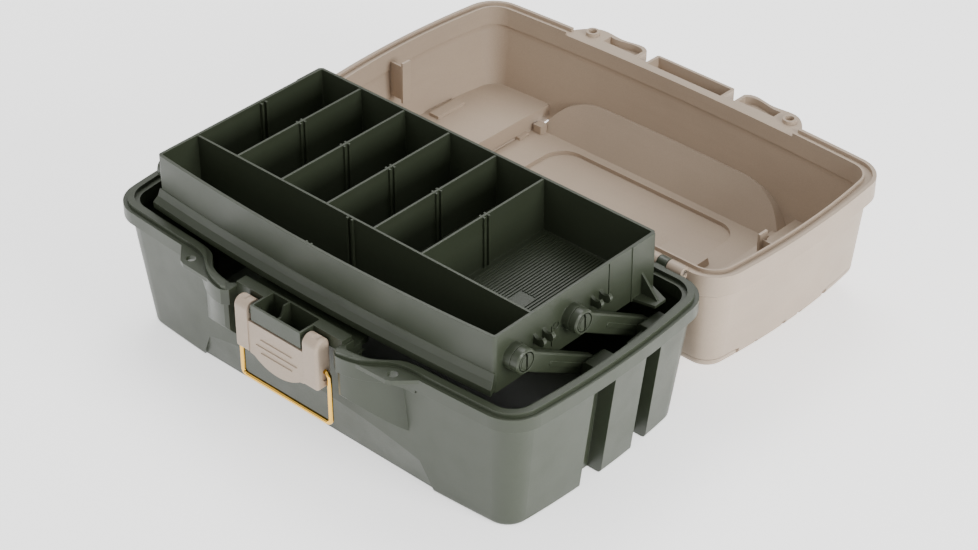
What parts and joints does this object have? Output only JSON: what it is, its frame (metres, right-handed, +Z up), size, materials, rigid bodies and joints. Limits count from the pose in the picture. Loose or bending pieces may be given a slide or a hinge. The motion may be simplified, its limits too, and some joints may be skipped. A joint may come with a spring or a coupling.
{
  "type": "fishing tackle box",
  "caption": "Plastic fishing tackle box with a hinged lid, a cantilever tray on swinging arms, a front latch with a wire bail, a folding handle and covered end bins in the lid.",
  "frame": {"origin": "Middle of the tub in plan (without the wings and latch), on the plane of its base, which stands on the floor", "axes": "+Z up; +X along the box's length, the viewer's right when facing the latch; -Y the front with the latch, +Y towards the open lid"},
  "size_m": [0.362, 0.4115, 0.1337],
  "materials": {
    "green_plastic": "moulded dark green polypropylene, fine texture",
    "sand_plastic": "moulded sand-coloured polypropylene, fine texture",
    "brass": "bright brass-plated wire",
    "steel": "plain steel pins"
  },
  "bodies": {
    "tub": {"base_tub": "green_plastic", "arm_pins_left": "green_plastic", "arm_pins_right": "green_plastic", "latch_pins": "steel", "hinge_pin_left": "steel", "hinge_pin_right": "steel"},
    "lid": {"lid_shell": "sand_plastic", "handle_pins": "steel", "cover_pin_left": "steel", "cover_pin_right": "steel"},
    "tray": {"tray": "green_plastic"},
    "arm_rr": {"arm_right_rear": "green_plastic"},
    "arm_rf": {"arm_right_front": "green_plastic"},
    "arm_lr": {"arm_left_rear": "green_plastic"},
    "arm_lf": {"arm_left_front": "green_plastic"},
    "latch": {"latch_lever": "sand_plastic"},
    "bail": {"bail_wire": "brass"},
    "handle": {"handle": "green_plastic"},
    "cover_right": {"top_cover_right": "sand_plastic"},
    "cover_left": {"top_cover_left": "sand_plastic"}
  },
  "joints": [
    {"name": "lid_hinge", "type": "hinge", "parent": "tub", "child": "lid", "pos_m": [0, 0.093, 0.095], "axis": [-1, 0, 0], "range_deg": [-181.2, 0]},
    {"name": "tray_lift", "type": "hinge", "parent": "tub", "child": "arm_rr", "pos_m": [0, 0.0504, 0.0783], "axis": [-1, 0, 0], "range_deg": [0, 105]},
    {"name": "arm_rf_pivot", "type": "hinge", "parent": "tub", "child": "arm_rf", "pos_m": [0, -0.0012, 0.0783], "axis": [-1, 0, 0], "range_deg": [0, 105]},
    {"name": "arm_lr_pivot", "type": "hinge", "parent": "tub", "child": "arm_lr", "pos_m": [0, 0.0504, 0.0783], "axis": [-1, 0, 0], "range_deg": [0, 105]},
    {"name": "arm_lf_pivot", "type": "hinge", "parent": "tub", "child": "arm_lf", "pos_m": [0, -0.0012, 0.0783], "axis": [-1, 0, 0], "range_deg": [0, 105]},
    {"name": "tray_pivot", "type": "hinge", "parent": "arm_rr", "child": "tray", "pos_m": [0, -0.0076, 0.1138], "axis": [-1, 0, 0], "range_deg": [-105, 0]},
    {"name": "latch_lift", "type": "hinge", "parent": "tub", "child": "latch", "pos_m": [0, -0.1075, 0.09], "axis": [-1, 0, 0], "range_deg": [0, 105]},
    {"name": "bail_swing", "type": "hinge", "parent": "latch", "child": "bail", "pos_m": [0, -0.106, 0.071], "axis": [1, 0, 0], "range_deg": [-180, 15]},
    {"name": "handle_fold", "type": "hinge", "parent": "lid", "child": "handle", "pos_m": [0, 0.19318, 0.00688], "axis": [1, 0, 0], "range_deg": [-90, 0]},
    {"name": "cover_right_open", "type": "hinge", "parent": "lid", "child": "cover_right", "pos_m": [0.1142, 0.18138, 0.01653], "axis": [0, -0.9998, 0.0209], "range_deg": [-100, 0]},
    {"name": "cover_left_open", "type": "hinge", "parent": "lid", "child": "cover_left", "pos_m": [-0.1142, 0.18138, 0.01653], "axis": [0, 0.9998, -0.0209], "range_deg": [-100, 0]}
  ],
  "couplings": [
    {"joint": "arm_rf_pivot", "follows": "tray_lift", "ratio": 1},
    {"joint": "arm_lr_pivot", "follows": "tray_lift", "ratio": 1},
    {"joint": "arm_lf_pivot", "follows": "tray_lift", "ratio": 1},
    {"joint": "tray_pivot", "follows": "tray_lift", "ratio": -1}
  ]
}
